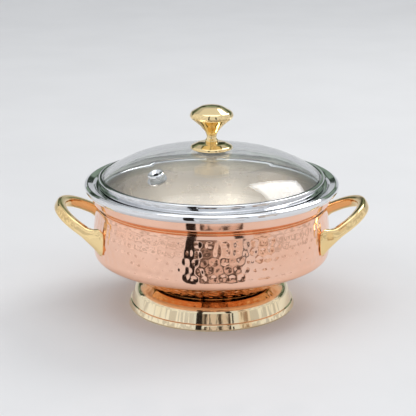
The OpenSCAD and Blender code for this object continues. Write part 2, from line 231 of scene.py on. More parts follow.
def lathe(name: str, outline: np.ndarray, columns: int = 192, crease: float = 40.0) -> bpy.types.Object:
    """Turns an outline about the Z axis.

    Args:
        name: the piece's name.
        outline: radius and height. It starts and ends on the axis, or closes away from it.
        columns: how many steps round.
        crease: the angle above which an edge stays sharp, in degrees.

    Returns:
        The new piece.
    """
    angles = np.arange(columns) * TURN / columns
    round_ = np.stack([np.cos(angles), np.sin(angles)], 1)
    grid = np.empty((len(outline), columns, 3))
    grid[..., :2] = outline[:, 0, None, None] * round_
    grid[..., 2] = outline[:, 1, None]
    return skin(name, grid, bool(outline[0, 0] > 1e-6), crease)


def fit(piece: bpy.types.Object, body: Body, node: str, finish: "Finish") -> bpy.types.Object:
    """Puts a new piece in the place of a CAD node and dresses it.

    Args:
        piece: the new piece.
        body: the body that it rides on.
        node: the CAD node that it stands for.
        finish: its finish.

    Returns:
        The piece.
    """
    piece.data.materials.clear()
    piece.data.materials.append(finish.material())
    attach(piece, body.value)
    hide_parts(node)
    return piece


# Finishes


class Bench:
    """A material's node tree while it is being made."""

    def __init__(self, name: str) -> None:
        """Starts an empty material with one Principled shader.

        Args:
            name: the material's name.
        """
        self.material = bpy.data.materials.new(name)
        self.material.use_nodes = True
        self.tree = self.material.node_tree
        self.shader = self.tree.nodes["Principled BSDF"]

    def add(self, kind: str, inputs: dict | None = None, **settings: object) -> bpy.types.Node:
        """Adds a node.

        Args:
            kind: the node's type, without its prefix.
            inputs: socket names or numbers, each with a value or an output socket to link.
            **settings: the node's own settings.

        Returns:
            The node.
        """
        node = self.tree.nodes.new("ShaderNode" + kind)
        for key, value in settings.items():
            setattr(node, key, value)
        for key, value in (inputs or {}).items():
            self.feed(node.inputs[key], value)
        return node

    def feed(self, socket: bpy.types.NodeSocket, value: object) -> None:
        """Sets a socket to a value, or links an output to it."""
        if isinstance(value, bpy.types.NodeSocket):
            self.tree.links.new(value, socket)
        else:
            socket.default_value = value

    def maths(self, operation: str, a: object, b: object = 0.0) -> bpy.types.NodeSocket:
        """The output of a Math node."""
        return self.add("Math", {0: a, 1: b}, operation=operation).outputs[0]

    def place(self) -> bpy.types.NodeSocket:
        """The point on the piece, in metres, which moves with it."""
        return self.add("TexCoord").outputs["Object"]

    def round_the_axis(self, stretch: float) -> bpy.types.NodeSocket:
        """The point as radius, height and a slow turn, so that a noise runs in rings.

        Args:
            stretch: metres of noise for each radian round.

        Returns:
            The vector output.
        """
        split = self.add("SeparateXYZ", {0: self.place()})
        x, y, z = split.outputs
        radius = self.maths("SQRT", self.maths("ADD", self.maths("MULTIPLY", x, x), self.maths("MULTIPLY", y, y)))
        turn = self.maths("MULTIPLY", self.maths("ARCTAN2", y, x), stretch)
        return self.add("CombineXYZ", {0: radius, 1: z, 2: turn}).outputs[0]

    def noise(self, vector: object, scale: float, detail: float = 3.0, rough: float = 0.5) -> bpy.types.NodeSocket:
        """A noise texture's value.

        Args:
            vector: the place that it is read at.
            scale: how many blotches there are in a metre.
            detail: how many finer layers it has.
            rough: how strong the finer layers are.

        Returns:
            The value output.
        """
        inputs = {"Vector": vector, "Scale": scale, "Detail": detail, "Roughness": rough}
        return self.add("TexNoise", inputs).outputs[0]

    def spread(
        self, value: object, low: float, high: float, start: float = 0.3, end: float = 0.7
    ) -> bpy.types.NodeSocket:
        """Maps a noise to a range.

        Args:
            value: the noise.
            low: the result at start and below.
            high: the result at end and above.
            start: the noise's low end.
            end: its high end.

        Returns:
            The value output.
        """
        inputs = {0: value, 1: start, 2: end, 3: low, 4: high}
        return self.add("MapRange", inputs, interpolation_type="SMOOTHSTEP").outputs[0]

    def blend(self, share: object, a: object, b: object) -> bpy.types.NodeSocket:
        """Mixes two colours by a share.

        Args:
            share: how much of the second colour, from 0 to 1.
            a: the first colour, or an output socket.
            b: the second colour, or an output socket.

        Returns:
            The colour output.
        """
        node = self.add("Mix", data_type="RGBA")
        self.feed(node.inputs[0], share)
        for socket, colour in ((node.inputs[6], a), (node.inputs[7], b)):
            self.feed(socket, (*colour, 1.0) if isinstance(colour, tuple) else colour)
        return node.outputs[2]

    def relief(self, height: object, depth: float, under: object | None = None) -> bpy.types.NodeSocket:
        """A bump.

        Args:
            height: the height, from 0 to 1.
            depth: its depth in millimetres.
            under: another bump that this one lies on.

        Returns:
            The normal output.
        """
        inputs = {"Height": height, "Distance": depth * MM, "Strength": 1.0}
        node = self.add("Bump", inputs)
        if under is not None:
            self.feed(node.inputs["Normal"], under)
        return node.outputs[0]

    def finish(self, **inputs: object) -> bpy.types.Material:
        """Sets the shader's sockets, with _ for a space in their names, and returns the material."""
        for key, value in inputs.items():
            value = (*value, 1.0) if key == "Base_Color" and isinstance(value, tuple) else value
            self.feed(self.shader.inputs[key.replace("_", " ")], value)
        return self.material


@dataclass(frozen=True)
class Finish:
    """A finish that makes its material once and gives it to every piece that asks."""

    name: str

    def material(self) -> bpy.types.Material:
        """The material, made on the first call."""
        return bpy.data.materials.get(self.name) or self.make(Bench(self.name))

    def make(self, bench: Bench) -> bpy.types.Material:
        """Builds the material on a bench. Each finish has its own way."""
        raise NotImplementedError


@dataclass(frozen=True)
class PolishedMetal(Finish):
    """Polished metal: fine wheel marks, soft handling smears and a slow drift of tone."""

    colour: Colour
    deep: Colour
    low: float = 0.05
    high: float = 0.12
    marks: Marks = Marks.SPUN
    fineness: float = 2600.0
    bite: float = 0.002
    blotch: float = 45.0

    def make(self, bench: Bench) -> bpy.types.Material:
        """Builds the metal.

        Args:
            bench: where it is built.

        Returns:
            The material.
        """
        place = bench.place()
        if self.marks is Marks.SPUN:
            lines = bench.noise(bench.round_the_axis(0.004), self.fineness, 2.0, 0.6)
        else:
            lines = bench.noise(place, self.fineness * 0.45, 3.0, 0.6)
        smears = bench.noise(place, self.blotch * 2.3, 4.0, 0.62)
        drift = bench.noise(place, self.blotch, 2.0, 0.4)
        share = bench.maths("MULTIPLY", bench.spread(drift, 0.0, 0.75), bench.spread(smears, 0.55, 1.0))
        smear = bench.spread(smears, self.low, self.high)
        rough = bench.maths("ADD", smear, bench.spread(lines, 0.0, self.high * 0.35))
        return bench.finish(
            Base_Color=bench.blend(share, self.colour, self.deep),
            Metallic=1.0,
            Roughness=rough,
            Normal=bench.relief(lines, self.bite),
        )


@dataclass(frozen=True)
class HammeredCopper(PolishedMetal):
    """Copper with painted shade and reflection: its groove and underside are painted a deeper orange for the shade
    and the copper-on-copper reflection there.
    """

    # The deeper orange painted into the groove and underside for their shade and copper-on-copper reflection.
    painted_shade_and_reflection: Colour = (0.86, 0.42, 0.22)
    groove: tuple[float, float] = (0.0712, 0.0756)
    under: tuple[float, float] = (0.030, 0.043)

    def make(self, bench: Bench) -> bpy.types.Material:
        """Builds the copper, then paints shade and reflection into it by height.

        Args:
            bench: where it is built.

        Returns:
            The material.
        """
        material = super().make(bench)
        height = bench.add("SeparateXYZ", {0: bench.place()}).outputs[2]
        # Painted shade and reflection: the groove's band and the underside below the turn are blended towards the
        # deeper orange.
        low, high = self.groove
        above = bench.spread(height, 0.0, 1.0, low - 0.0004, low + 0.0006)
        below = bench.spread(height, 1.0, 0.0, high - 0.0006, high + 0.0004)
        under = bench.spread(height, 0.75, 0.0, *self.under)
        share = bench.maths("MAXIMUM", bench.maths("MULTIPLY", above, below), under)
        socket = bench.shader.inputs["Base Color"]
        bench.feed(socket, bench.blend(share, socket.links[0].from_socket, self.painted_shade_and_reflection))
        return material


@dataclass(frozen=True)
class BowlSteel(PolishedMetal):
    """Steel with a bright rim and a duller bowl below it, whose warm tint is a painted warm reflection."""

    painted_warm_reflection_tint: Colour = (0.92, 0.87, 0.80)
    ledge: float = 0.0835

    def make(self, bench: Bench) -> bpy.types.Material:
        """Builds the steel, then changes it below the ledge: rougher, and tinted with a painted warm reflection.

        Args:
            bench: where it is built.

        Returns:
            The material.
        """
        material = super().make(bench)
        height = bench.add("SeparateXYZ", {0: bench.place()}).outputs[2]
        # Below the ledge the steel's colour is blended to a warm tint that paints in the warm reflections inside
        # the bowl.
        inside = bench.spread(height, 1.0, 0.0, self.ledge - 0.006, self.ledge)
        for name, value in (("Base Color", self.painted_warm_reflection_tint), ("Roughness", 0.22)):
            socket = bench.shader.inputs[name]
            bright = socket.links[0].from_socket
            if name == "Base Color":
                bench.feed(socket, bench.blend(inside, bright, value))
            else:
                bench.feed(socket, bench.maths("ADD", bright, bench.maths("MULTIPLY", inside, value)))
        return material


@dataclass(frozen=True)
class ClearGlass(Finish):
    """Clear tempered glass with a faint green body and light finger smears."""

    tint: Colour = (0.98, 0.993, 0.988)

    def make(self, bench: Bench) -> bpy.types.Material:
        """Builds the glass.

        Args:
            bench: where it is built.

        Returns:
            The material.
        """
        place = bench.place()
        drift = bench.noise(place, 22.0, 2.0)
        smears = bench.noise(place, 70.0, 4.0, 0.6)
        return bench.finish(
            Base_Color=bench.blend(bench.spread(drift, 0.0, 1.0), self.tint, (0.995, 1.0, 0.997)),
            Transmission_Weight=1.0,
            IOR=1.5,
            Roughness=bench.spread(smears, 0.0, 0.018, 0.5, 0.8),
            Normal=bench.relief(bench.noise(place, 30.0, 1.0), 0.01),
        )


@dataclass(frozen=True)
class Silicone(Finish):
    """Milky soft silicone with a fine moulded grain."""

    colour: Colour = (0.82, 0.83, 0.80)

    def make(self, bench: Bench) -> bpy.types.Material:
        """Builds the silicone.

        Args:
            bench: where it is built.

        Returns:
            The material.
        """
        place = bench.place()
        grain = bench.noise(place, 1800.0, 3.0)
        cloud = bench.noise(place, 160.0, 3.0)
        return bench.finish(
            Base_Color=bench.blend(bench.spread(cloud, 0.0, 1.0), self.colour, (0.72, 0.73, 0.70)),
            Roughness=bench.spread(grain, 0.35, 0.55),
            Transmission_Weight=0.25,
            Normal=bench.relief(grain, 0.01),
        )


@dataclass(frozen=True)
class Matt(Finish):
    """A matt stage surface, barely mottled or boldly blotched."""

    colour: Colour
    rough: float = 0.6
    other: Colour | None = None
    blotch: float = 9.0

    def make(self, bench: Bench) -> bpy.types.Material:
        """Builds the surface.

        Args:
            bench: where it is built.

        Returns:
            The material.
        """
        mottle = bench.noise(bench.place(), self.blotch, 4.0)
        other = self.other or tuple(c * 0.97 for c in self.colour)
        ends = (0.46, 0.54) if self.other else (0.3, 0.7)
        return bench.finish(
            Base_Color=bench.blend(bench.spread(mottle, 0.0, 1.0, *ends), self.colour, other),
            Roughness=self.rough,
        )


COPPER = HammeredCopper("polished_copper", (0.96, 0.61, 0.46), (0.93, 0.54, 0.38), 0.04, 0.09, fineness=1800.0)
FOOT_BRASS = PolishedMetal("polished_brass", (0.95, 0.82, 0.58), (0.91, 0.74, 0.46), 0.02, 0.06)
KNOB_BRASS = PolishedMetal("polished_knob_brass", (0.96, 0.78, 0.45), (0.90, 0.68, 0.34), 0.03, 0.07)
CAST_BRASS = PolishedMetal(
    "polished_cast_brass", (0.96, 0.74, 0.39), (0.90, 0.64, 0.29), 0.04, 0.11, Marks.CAST, bite=0.004
)
BOWL_STEEL = BowlSteel("satin_bowl_steel", (0.82, 0.83, 0.85), (0.77, 0.78, 0.80), 0.03, 0.08)
STEEL = PolishedMetal("polished_steel", (0.80, 0.81, 0.83), (0.76, 0.77, 0.79), 0.03, 0.09)
BRIGHT_STEEL = PolishedMetal("turned_steel", (0.62, 0.62, 0.63), (0.54, 0.54, 0.55), 0.18, 0.34, bite=0.004)
GLASS = ClearGlass("clear_glass")
SILICONE = Silicone("milky_silicone")


# The kettle


@dataclass
class HammerMarks:
    """Overlapping round dents from a planishing hammer, in staggered rows."""

    pitch: float = 5.9
    row_gap: float = 5.2
    reach: float = 2.35
    deep: float = 0.38
    wander: float = 0.42
    seed: int = 11

    def depth(self, along: np.ndarray, radius: np.ndarray, angles: np.ndarray, fade: float) -> np.ndarray:
        """How deep the dents are at each point of a band.

        Args:
            along: each row's distance along the profile.
            radius: each row's radius.
            angles: each column's angle.
            fade: over how much of the band's two ends the dents run out.

        Returns:
            The depth in millimetres, as rows and columns.
        """
        draw = np.random.default_rng(self.seed)
        start, end = float(along[0]), float(along[-1])
        count = max(1, round((end - start) / self.row_gap))
        gap = (end - start) / count
        total = np.zeros((len(along), len(angles)))
        for k in range(-1, count + 1):
            middle = start + (k + 0.5) * gap
            dents = round(TURN * float(np.interp(middle, along, radius)) / self.pitch)
            phase = 0.5 * (k % 2) + draw.uniform(-0.12, 0.12)
            drift = draw.normal(0, self.wander, (3, dents))
            near = np.abs(along - middle) < 2.4 * gap
            s, r = along[near][:, None], radius[near][:, None]
            closest = np.round(angles / TURN * dents - phase).astype(int)
            for other in (-1, 0, 1):
                i = closest + other
                own = drift[:, i % dents]
                across = r * (angles - (i + phase) * TURN / dents) + own[0]
                down = s - middle - own[1]
                strength = self.deep * (1 + 0.45 * own[2])
                total[near] += strength * np.exp(-(across**2 + down**2) / self.reach**2)
        share = np.clip(np.minimum(along - start, end - along) / fade, 0, 1)[:, None]
        return total * share * share * (3 - 2 * share)


@dataclass
class CopperShell:
    """The spun shell: a smooth collar over a groove, then a hammered belly and underside."""

    node: str = "outer_shell"
    sheet: float = 1.0
    groove_drop: float = 12.77
    belly_inside_collar: float = 0.6
    belly_arc: float = 110.0
    widest: float = 46.55
    turn_round: float = 3.82
    under_radius: float = 41.4
    under_slope: float = 28.6
    hole: float = 2.75
    columns: int = 816
    belly_marks: HammerMarks = field(default_factory=HammerMarks)
    under_marks: HammerMarks = field(default_factory=lambda: HammerMarks(6.2, 5.2, seed=5))

    def __post_init__(self) -> None:
        """Takes the shell's place from its CAD node."""
        low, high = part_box(self.node)
        self.collar, self.top, self.seat = high.x / MM, high.z / MM, low.z / MM
        self.belly = self.collar - self.belly_inside_collar
        self.groove = self.top - self.groove_drop
        self.turn = self.seat + (self.belly - 0.6 - self.under_radius) * math.tan(math.radians(self.under_slope))

    def radius_at(self, z: float | np.ndarray) -> float | np.ndarray:
        """The belly's radius at a height."""
        return self.belly - self.belly_arc + np.sqrt(self.belly_arc**2 - (z - self.widest) ** 2)

    def bands(self) -> list[tuple[np.ndarray, HammerMarks | None]]:
        """The outside, from the top edge to the hole for the bolt.

        Returns:
            Each band's path and its hammer marks.
        """
        collar, groove = self.collar, self.groove
        shoulder = groove - 3.0
        neck = fillet(
            [
                (collar, self.top, 0),
                (collar - 0.1, self.top - 3, 0),
                (collar - 0.25, self.top - 6, 0),
                (collar - 0.4, groove + 3.2, 1.6),
                (collar - 4.9, groove, 0.8),
                (float(self.radius_at(groove - 1.4)) - 0.2, groove - 1.0, 1.2),
                (float(self.radius_at(shoulder)), shoulder, 0),
            ],
            12,
        )
        heights = np.linspace(shoulder, self.turn + 4.25, 54)
        belly = np.stack([self.radius_at(heights), heights], 1)
        bend = fillet(
            [
                (*belly[-1], 0),
                (self.belly - 0.6, self.turn, self.turn_round),
                (self.belly - 5.4, self.turn - 4.8 * math.tan(math.radians(self.under_slope)), 0),
            ],
            8,
        )
        share = np.linspace(0, 1, 35)[:, None]
        under = bend[-1] * (1 - share) + np.array([self.under_radius + 1.2, self.seat + 0.66]) * share
        seat = fillet([(*under[-1], 0), (self.under_radius, self.seat, 1.2), (self.hole, self.seat, 0)], 10)
        return [
            (neck, None),
            (belly[1:], self.belly_marks),
            (bend[1:-1], None),
            (under, self.under_marks),
            (seat[1:], None),
        ]

    def build(self) -> bpy.types.Object:
        """Beats the dents into the outside, closes the sheet with its inside, and dresses it.

        Returns:
            The shell.
        """
        angles = np.arange(self.columns) * TURN / self.columns
        path = np.vstack([band for band, _ in self.bands()])
        normal = beside(path, 1.0) - path
        normal /= np.linalg.norm(normal, axis=1)[:, None]
        along = np.concatenate([[0], np.cumsum(np.linalg.norm(np.diff(path, axis=0), axis=1))])
        depth = np.zeros((len(path), self.columns))
        row = 0
        for band, marks in self.bands():
            rows = slice(row, row + len(band))
            if marks:
                depth[rows] = marks.depth(along[rows], path[rows, 0], angles, 1.6)
            row += len(band)
        dented = path[:, None] + normal[:, None] * depth[..., None]
        inside = beside(path, self.sheet)[::-1][::5]
        inside = np.vstack([[self.hole, self.seat + self.sheet], inside[1:], beside(path, self.sheet)[0]])
        grid = np.empty((len(path) + len(inside), self.columns, 3))
        for column, (c, s) in enumerate(zip(np.cos(angles), np.sin(angles))):
            profile = np.vstack([dented[:, column], inside])
            grid[:, column] = np.stack([profile[:, 0] * c, profile[:, 0] * s, profile[:, 1]], 1)
        piece = skin("hammered_copper_shell", grid, True, 50)
        return fit(piece, Body.KETTLE, self.node, COPPER)


@dataclass
class SteelBowl:
    """The inner bowl, with its rolled rim and the gutter that the lid sits in."""

    node: str = "inner_bowl"
    sheet: float = 0.8
    hem_in: float = 4.1
    hem_drop: float = 5.5
    ledge_in: float = 7.6
    ledge_drop: float = 2.7
    ledge_width: float = 7.4
    lean: float = 1.6
    floor_radius: float = 45.4
    slope: float = 28.6

    def build(self) -> bpy.types.Object:
        """Spins the bowl and dresses it.

        Returns:
            The bowl.
        """
        low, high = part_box(self.node)
        rim, top, floor = min(high.x, high.y) / MM, high.z / MM, low.z / MM + self.sheet
        hem, ledge = top - self.hem_drop, top - self.ledge_drop
        inner = rim - self.ledge_in - self.ledge_width
        knee = inner - self.lean
        knee_z = floor + (knee - self.floor_radius) * math.tan(math.radians(self.slope))
        face = fillet(
            [
                (rim - self.hem_in, hem, 0),
                (rim - 1.4, hem, 1.0),
                (rim, hem + 2.1, 1.4),
                (rim, top - 1.2, 1.2),
                (rim - 2, top, 1.3),
                (rim - 6, top - 1.1, 1.2),
                (rim - self.ledge_in, ledge, 1.2),
                (inner, ledge, 1.5),
                (knee, knee_z, 16),
                (self.floor_radius, floor, 14),
                (0, floor, 0),
            ],
            5,
        )
        outline = np.vstack([face[::-1], beside(face, -self.sheet)])
        piece = lathe("steel_bowl", outline, 288, 60)
        return fit(piece, Body.KETTLE, self.node, BOWL_STEEL)


@dataclass
class Pedestal:
    """The brass foot: an upright band with a dome above it."""

    node: str = "pedestal"
    thickness: float = 2.2
    band: float = 3.9
    seat_radius: float = 38.8
    hole: float = 2.75

    def build(self) -> bpy.types.Object:
        """Turns the pedestal and dresses it.

        Returns:
            The pedestal.
        """
        _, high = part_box(self.node)
        radius, top = high.x / MM, high.z / MM
        radius += 0.12
        spread = radius - self.seat_radius
        face = fillet(
            [
                (radius - 0.4, 0, 0),
                (radius, 0.9, 0.5),
                (radius - 1.1, self.band, 0.3),
                (radius - 2, self.band + 0.4, 0.2),
                (radius - 4.9, top - 3, spread * 0.28),
                (self.seat_radius + 1.2, top - 1, 0.6),
                (self.seat_radius, top, 0),
                (self.hole, top, 0),
            ],
            4,
        )
        outline = np.vstack([wall(face, -self.thickness), [[radius - self.thickness - 0.2, 0]]])
        piece = lathe("brass_pedestal", outline, 288, 40)
        return fit(piece, Body.KETTLE, self.node, FOOT_BRASS)


@dataclass
class LoopHandle:
    """A cast loop whose bar spreads into a tall foot at each end."""

    side: Side
    shell: CopperShell
    span: float = 67.2
    height: float = 52.5
    tilt: float = 30.0
    bend: float = 28.5
    half_width: float = 3.2
    half_depth: float = 3.6
    foot_half_width: float = 4.7
    foot_half_height: float = 8.3
    foot_run: float = 14.5
    foot_deep: float = 2.6
    squareness: float = 3.6
    sunk: float = 0.3
    around: int = 56

    def __post_init__(self) -> None:
        """Takes the handle's reach from its CAD node."""
        self.node = "handle_" + self.side.name.lower()
        low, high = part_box(self.node)
        reach = max(-low.x, high.x) / MM
        lean = math.radians(self.tilt)
        self.wall = float(self.shell.radius_at(self.height))
        self.root = math.sqrt(self.wall**2 - (self.span / 2) ** 2)
        power = self.squareness / (self.squareness - 1)
        parts = (self.half_width * math.cos(lean), self.half_depth * math.sin(lean))
        overhang = sum(part**power for part in parts) ** (1 / power) + 0.05
        outermost = (reach - overhang - self.root) / math.cos(lean)
        self.centre = outermost - self.bend

    def line(self) -> tuple[np.ndarray, np.ndarray]:
        """The centre line of half a loop in its own plane, from the foot to the crown.

        Returns:
            The points, and each point's distance from the wall.
        """
        foot = np.array([0.0, self.span / 2])
        middle = np.array([self.centre, 0.0])
        away = foot - middle
        distance = float(np.linalg.norm(away))
        touch = math.atan2(away[1], away[0]) - math.acos(self.bend / distance)
        joint = middle + self.bend * np.array([math.cos(touch), math.sin(touch)])
        length = float(np.linalg.norm(joint - foot))
        share = np.linspace(0, 1, 36)[:, None] ** 1.25
        leg = foot * (1 - share) + joint * share
        crown = arc((self.centre, 0.0), self.bend, touch, 0.0, 40)[1:]
        return np.vstack([leg, crown]), np.concatenate([share[:, 0] * length, length + np.arange(1, 40)])

    def rings(self) -> np.ndarray:
        """The sections of half a loop on the right side, from the foot to the crown.

        Returns:
            The rings' points, in millimetres.
        """
        lean = math.radians(self.tilt)
        out = np.array([math.cos(lean), 0, math.sin(lean)])
        along_wall = np.array([0.0, 1.0, 0.0])
        up = np.array([-math.sin(lean), 0, math.cos(lean)])
        line, away = self.line()
        run = np.gradient(line, axis=0)
        run /= np.linalg.norm(run, axis=1)[:, None]
        centres = np.array([self.root, 0, self.height]) + line[:, :1] * out + line[:, 1:] * along_wall
        side = -run[:, 1:] * out + run[:, :1] * along_wall
        foot = math.asin(self.span / 2 / self.wall)
        tangent = np.array([-math.sin(foot), math.cos(foot), 0])
        lean_in = math.asin((self.height - self.shell.widest) / self.shell.belly_arc)
        flat = -math.sin(lean_in)
        meridian = np.array([math.cos(foot) * flat, math.sin(foot) * flat, math.cos(lean_in)])
        near = np.clip((self.foot_run - away) / (self.foot_run - self.foot_deep), 0, 1)[:, None]
        turn = near * near * (3 - 2 * near)
        side = side * (1 - turn) + tangent * turn
        side /= np.linalg.norm(side, axis=1)[:, None]
        rise = up * (1 - turn) + meridian * turn
        rise /= np.linalg.norm(rise, axis=1)[:, None]
        wide = self.half_width + (self.foot_half_width - self.half_width) * near[:, 0] ** 2
        tall = self.half_depth + (self.foot_half_height - self.half_depth) * near[:, 0] ** 1.6
        angles = np.arange(self.around) * TURN / self.around
        power = 2 / (self.squareness - 0.9 * turn)
        across = np.sign(np.cos(angles)) * np.abs(np.cos(angles)) ** power * wide[:, None]
        over = np.sign(np.sin(angles)) * np.abs(np.sin(angles)) ** power * tall[:, None]
        grid = centres[:, None] + side[:, None] * across[..., None] + rise[:, None] * over[..., None]
        return self.seated(grid, centres[0])

    def seated(self, grid: np.ndarray, centre: np.ndarray) -> np.ndarray:
        """Lays the first ring on the copper with a broken edge, and closes it behind the surface.

        Args:
            grid: the rings.
            centre: the middle of the foot.

        Returns:
            The rings with those of the seat in front.
        """
        plan = np.hypot(grid[..., 0], grid[..., 1])
        limit = self.shell.radius_at(grid[..., 2]) + 0.05
        push = np.maximum(limit / plan, 1.0)
        grid[..., :2] *= push[..., None]
        edge = grid[0].copy()
        rows = []
        for inset, level in ((0.8, -self.sunk), (0.88, -self.sunk), (0.955, 0.12)):
            ring = centre + (edge - centre) * inset
            spot = self.shell.radius_at(ring[:, 2]) + level
            ring[:, :2] *= (spot / np.hypot(ring[:, 0], ring[:, 1]))[:, None]
            rows.append(ring)
        edge_radius = self.shell.radius_at(edge[:, 2]) + 0.7
        edge[:, :2] *= (edge_radius / np.hypot(edge[:, 0], edge[:, 1]))[:, None]
        return np.concatenate([[np.broadcast_to(centre, edge.shape)], rows, [edge], grid[1:]])

    def build(self) -> bpy.types.Object:
        """Joins two mirrored halves into the loop and dresses it.

        Returns:
            The handle.
        """
        half = self.rings()
        other = (half * np.array([1, -1, 1]))[::-1]
        grid = np.concatenate([half, np.roll(other[:, ::1], 0, axis=1)[1:]])
        grid[..., :2] *= self.side.value
        piece = skin(f"brass_{self.node}", grid, False, 70)
        return fit(piece, Body.KETTLE, self.node, CAST_BRASS)


# The lid


@dataclass
class Lid:
    """The glass dome in its steel band, with the vent, the knob and its skirt."""

    glass: float = 4.0
    crown: float = 222.0
    shoulder: float = 73.0
    shoulder_width: float = 28.8
    band_sheet: float = 0.6
    seal: float = 0.4
    lap: float = 2.7
    knob_hole: float = 3.4
    stem: float = 3.3
    knob_screw: float = 2.0
    vent_radius: float = 54.0
    vent_angle: float = -131.0
    vent_hole: float = 3.0
    vent_bore: float = 1.6
    vent_flange: float = 5.5

    def __post_init__(self) -> None:
        """Takes the lid's rings and heights from its CAD nodes."""
        low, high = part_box("lid_band")
        self.band, self.band_low, self.band_top = high.x / MM, low.z / MM, high.z / MM
        self.edge = self.band - self.lap
        dome = self.edge - 0.1
        half = dome - self.shoulder_width
        self.crown_angle = math.asin(half / self.crown)
        self.shoulder_x = half - self.shoulder * math.sin(self.crown_angle)
        self.edge_angle = math.asin((dome - self.shoulder_x) / self.shoulder)
        self.shoulder_z = self.band_top - self.shoulder * math.cos(self.edge_angle) - 0.03
        self.crown_z = self.shoulder_z + (self.shoulder - self.crown) * math.cos(self.crown_angle)

    def dome(self, depth: float) -> np.ndarray:
        """The glass's face at a depth below its outside, from the knob's hole outwards.

        Args:
            depth: how deep, in millimetres.

        Returns:
            The face's points.
        """
        quarter = math.pi / 2
        radius = self.crown - depth
        inner = quarter - math.asin(self.knob_hole / radius)
        crown = arc((0.0, self.crown_z), radius, inner, quarter - self.crown_angle, 26)
        centre = (self.shoulder_x, self.shoulder_z)
        rest = arc(centre, self.shoulder - depth, quarter - self.crown_angle, quarter - self.edge_angle, 26)
        return np.vstack([crown, rest[1:]])

    def vent_frame(self) -> Matrix:
        """The place of the vent: z is square to the glass, from its outside.

        Returns:
            The frame, in metres.
        """
        lean = math.asin((self.vent_radius - self.shoulder_x) / self.shoulder)
        swing = Matrix.Rotation(math.radians(self.vent_angle), 4, "Z")
        centre = Matrix.Translation(Vector((self.shoulder_x, 0, self.shoulder_z)) * MM)
        out = Matrix.Translation(Vector((0, 0, self.shoulder * MM)))
        return swing @ centre @ Matrix.Rotation(lean, 4, "Y") @ out

    def pane(self) -> bpy.types.Object:
        """The dome, with its edge inside the band and its two holes.

        Returns:
            The pane.
        """
        rim = self.band_top - self.band_sheet - self.seal
        outer = self.band - self.band_sheet - self.seal
        foot = self.band_low + self.band_sheet + self.seal
        edge = fillet(
            [
                (self.edge - 0.1, rim, 0),
                (outer, rim, 0.9),
                (outer, foot, 0.9),
                (outer - 2, foot, 0),
            ],
            15,
        )
        outline = np.vstack([self.dome(0.0), edge, self.dome(self.glass)[::-1]])
        piece = lathe("glass_dome", outline, 256, 50)
        drill = lathe("drill", np.array([[0, -8], [self.vent_hole, -8], [self.vent_hole, 4], [0, 4.0]]), 48)
        drill.data.transform(self.vent_frame())
        cut = piece.modifiers.new("vent hole", "BOOLEAN")
        cut.object, cut.solver, cut.operation = drill, "EXACT", "DIFFERENCE"
        evaluated = piece.evaluated_get(bpy.context.evaluated_depsgraph_get())
        mesh = bpy.data.meshes.new_from_object(evaluated)
        piece.modifiers.clear()
        piece.data = mesh
        bpy.data.objects.remove(drill)
        tidy(piece, 50)
        piece.visible_shadow = False
        return fit(piece, Body.LID, "lid_glass", GLASS)

    def hoop(self) -> bpy.types.Object:
        """The steel band, rolled round the glass's edge.

        Returns:
            The hoop.
        """
        face = fillet(
            [
                (self.edge, self.band_top - 0.25, 0),
                (self.edge + 0.5, self.band_top, 0.4),
                (self.band, self.band_top, 1.2),
                (self.band, self.band_low, 1.0),
                (self.band - 5, self.band_low, 0),
            ],
            8,
        )
        piece = lathe("steel_band", wall(face, self.band_sheet), 288, 50)
        return fit(piece, Body.LID, "lid_band", STEEL)

    def vent(self) -> bpy.types.Object:
        """The eyelet: a dished flange on a barrel that is rolled out under the glass.

        Returns:
            The eyelet.
        """
        sag = self.vent_flange**2 / (2 * self.shoulder) + 0.1
        washer = -self.glass - sag - 0.6 - 0.8
        seat, barrel = 0.7, self.vent_bore + 0.8
        top = seat + 0.7
        outline = fillet(
            [
                (self.vent_bore, washer - 0.8, 0),
                (barrel + 0.9, washer - 0.8, 0.3),
                (barrel, washer, 0),
                (barrel, seat, 0),
                (self.vent_flange - 0.5, seat, 0.2),
                (self.vent_flange, seat + 0.4, 0.3),
                (self.vent_flange - 1, top + 0.7, 0.7),
                (self.vent_bore + 1, top, 0.9),
                (self.vent_bore, top - 0.6, 0),
            ],
            10,
        )
        piece = lathe("steel_vent", outline, 96, 50)
        piece.data.transform(self.vent_frame())
        return fit(piece, Body.LID, "vent_eyelet", STEEL)

    def knob(self) -> bpy.types.Object:
        """The mushroom knob, with a ring at the foot of its stem.

        Returns:
            The knob.
        """
        low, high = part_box("knob")
        base, top, head = low.z / MM, high.z / MM, high.x / MM + 0.1
        tall, ring = top - base, self.stem + 0.9
        widest = base + tall * 0.72
        bore = self.knob_screw + 0.05
        outline = fillet(
            [
                (0, base + 9.5, 0),
                (bore, base + 9.5, 0),
                (bore, base, 0),
                (ring, base, 0.2),
                (ring + 0.2, base + 1.3, 0.7),
                (self.stem, base + 2.6, 0.8),
                (self.stem, base + tall * 0.24, 7),
                (head * 0.55, base + tall * 0.455, 10),
                (head - 0.6, widest - 1.7, 1.4),
                (head + 0.1, widest, 1.2),
                (head * 0.94, widest + 2.4, 3),
                (head * 0.45, top - 0.6, 9),
                (0, top, 0),
            ],
            4,
        )
        piece = lathe("brass_knob", outline, 160, 50)
        return fit(piece, Body.LID, "knob", KNOB_BRASS)

